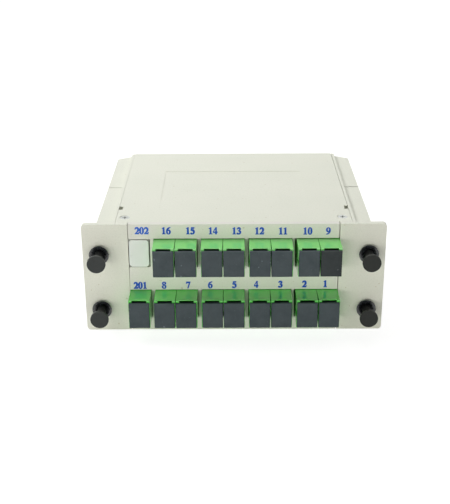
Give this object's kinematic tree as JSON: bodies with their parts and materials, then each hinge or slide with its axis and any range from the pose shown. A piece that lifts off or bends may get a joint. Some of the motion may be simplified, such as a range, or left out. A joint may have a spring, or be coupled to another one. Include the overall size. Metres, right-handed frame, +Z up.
{
  "type": "plc fibre splitter cassette",
  "caption": "Plug-in fibre splitter cassette: flat box with side guide wings, a front of capped green SC adapters in two rows, and push latches in its ears.",
  "frame": {"origin": "middle of the underside, midway between the caps' faces and the rear wall", "axes": "+X to the right seen from the front, +Y from the front towards the rear, +Z up"},
  "size_m": [0.13, 0.112, 0.05],
  "materials": {
    "housing_plastic": "fine moulded texture, warm light grey",
    "blank_plastic": "smooth white",
    "adapter_green": "glossy moulded green",
    "cap_plastic": "matte dark grey",
    "grommet_nylon": "glossy black",
    "plunger_nylon": "matte black",
    "screw_steel": "bright plated",
    "module_steel": "drawn stainless tube"
  },
  "bodies": {
    "housing": {"base_housing": "housing_plastic", "top_cover": "housing_plastic", "adapter_panel": "housing_plastic", "blank_plug": "blank_plastic", "cover_screws": "screw_steel", "splitter_module": "module_steel", "adapter_01": "adapter_green", "adapter_02": "adapter_green", "adapter_03": "adapter_green", "adapter_04": "adapter_green", "adapter_05": "adapter_green", "adapter_06": "adapter_green", "adapter_07": "adapter_green", "adapter_08": "adapter_green", "adapter_09": "adapter_green", "adapter_10": "adapter_green", "adapter_11": "adapter_green", "adapter_12": "adapter_green", "adapter_13": "adapter_green", "adapter_14": "adapter_green", "adapter_15": "adapter_green", "adapter_16": "adapter_green", "adapter_201": "adapter_green", "latch_grommet_lower_left": "grommet_nylon", "latch_grommet_lower_right": "grommet_nylon", "latch_grommet_upper_left": "grommet_nylon", "latch_grommet_upper_right": "grommet_nylon"},
    "cap_01": {"dust_cap_01": "cap_plastic"},
    "cap_02": {"dust_cap_02": "cap_plastic"},
    "cap_03": {"dust_cap_03": "cap_plastic"},
    "cap_04": {"dust_cap_04": "cap_plastic"},
    "cap_05": {"dust_cap_05": "cap_plastic"},
    "cap_06": {"dust_cap_06": "cap_plastic"},
    "cap_07": {"dust_cap_07": "cap_plastic"},
    "cap_08": {"dust_cap_08": "cap_plastic"},
    "cap_09": {"dust_cap_09": "cap_plastic"},
    "cap_10": {"dust_cap_10": "cap_plastic"},
    "cap_11": {"dust_cap_11": "cap_plastic"},
    "cap_12": {"dust_cap_12": "cap_plastic"},
    "cap_13": {"dust_cap_13": "cap_plastic"},
    "cap_14": {"dust_cap_14": "cap_plastic"},
    "cap_15": {"dust_cap_15": "cap_plastic"},
    "cap_16": {"dust_cap_16": "cap_plastic"},
    "cap_201": {"dust_cap_201": "cap_plastic"},
    "plunger_lower_left": {"latch_plunger_lower_left": "plunger_nylon"},
    "plunger_lower_right": {"latch_plunger_lower_right": "plunger_nylon"},
    "plunger_upper_left": {"latch_plunger_upper_left": "plunger_nylon"},
    "plunger_upper_right": {"latch_plunger_upper_right": "plunger_nylon"}
  },
  "joints": [
    {"name": "cap_01_pull", "type": "slide", "parent": "housing", "child": "cap_01", "axis": [0, -1, 0], "range_m": [0, 0.01]},
    {"name": "cap_02_pull", "type": "slide", "parent": "housing", "child": "cap_02", "axis": [0, -1, 0], "range_m": [0, 0.01]},
    {"name": "cap_03_pull", "type": "slide", "parent": "housing", "child": "cap_03", "axis": [0, -1, 0], "range_m": [0, 0.01]},
    {"name": "cap_04_pull", "type": "slide", "parent": "housing", "child": "cap_04", "axis": [0, -1, 0], "range_m": [0, 0.01]},
    {"name": "cap_05_pull", "type": "slide", "parent": "housing", "child": "cap_05", "axis": [0, -1, 0], "range_m": [0, 0.01]},
    {"name": "cap_06_pull", "type": "slide", "parent": "housing", "child": "cap_06", "axis": [0, -1, 0], "range_m": [0, 0.01]},
    {"name": "cap_07_pull", "type": "slide", "parent": "housing", "child": "cap_07", "axis": [0, -1, 0], "range_m": [0, 0.01]},
    {"name": "cap_08_pull", "type": "slide", "parent": "housing", "child": "cap_08", "axis": [0, -1, 0], "range_m": [0, 0.01]},
    {"name": "cap_09_pull", "type": "slide", "parent": "housing", "child": "cap_09", "axis": [0, -1, 0], "range_m": [0, 0.01]},
    {"name": "cap_10_pull", "type": "slide", "parent": "housing", "child": "cap_10", "axis": [0, -1, 0], "range_m": [0, 0.01]},
    {"name": "cap_11_pull", "type": "slide", "parent": "housing", "child": "cap_11", "axis": [0, -1, 0], "range_m": [0, 0.01]},
    {"name": "cap_12_pull", "type": "slide", "parent": "housing", "child": "cap_12", "axis": [0, -1, 0], "range_m": [0, 0.01]},
    {"name": "cap_13_pull", "type": "slide", "parent": "housing", "child": "cap_13", "axis": [0, -1, 0], "range_m": [0, 0.01]},
    {"name": "cap_14_pull", "type": "slide", "parent": "housing", "child": "cap_14", "axis": [0, -1, 0], "range_m": [0, 0.01]},
    {"name": "cap_15_pull", "type": "slide", "parent": "housing", "child": "cap_15", "axis": [0, -1, 0], "range_m": [0, 0.01]},
    {"name": "cap_16_pull", "type": "slide", "parent": "housing", "child": "cap_16", "axis": [0, -1, 0], "range_m": [0, 0.01]},
    {"name": "cap_201_pull", "type": "slide", "parent": "housing", "child": "cap_201", "axis": [0, -1, 0], "range_m": [0, 0.01]},
    {"name": "plunger_lower_left_push", "type": "slide", "parent": "housing", "child": "plunger_lower_left", "axis": [0, 1, 0], "range_m": [0, 0.008]},
    {"name": "plunger_lower_right_push", "type": "slide", "parent": "housing", "child": "plunger_lower_right", "axis": [0, 1, 0], "range_m": [0, 0.008]},
    {"name": "plunger_upper_left_push", "type": "slide", "parent": "housing", "child": "plunger_upper_left", "axis": [0, 1, 0], "range_m": [0, 0.008]},
    {"name": "plunger_upper_right_push", "type": "slide", "parent": "housing", "child": "plunger_upper_right", "axis": [0, 1, 0], "range_m": [0, 0.008]}
  ]
}
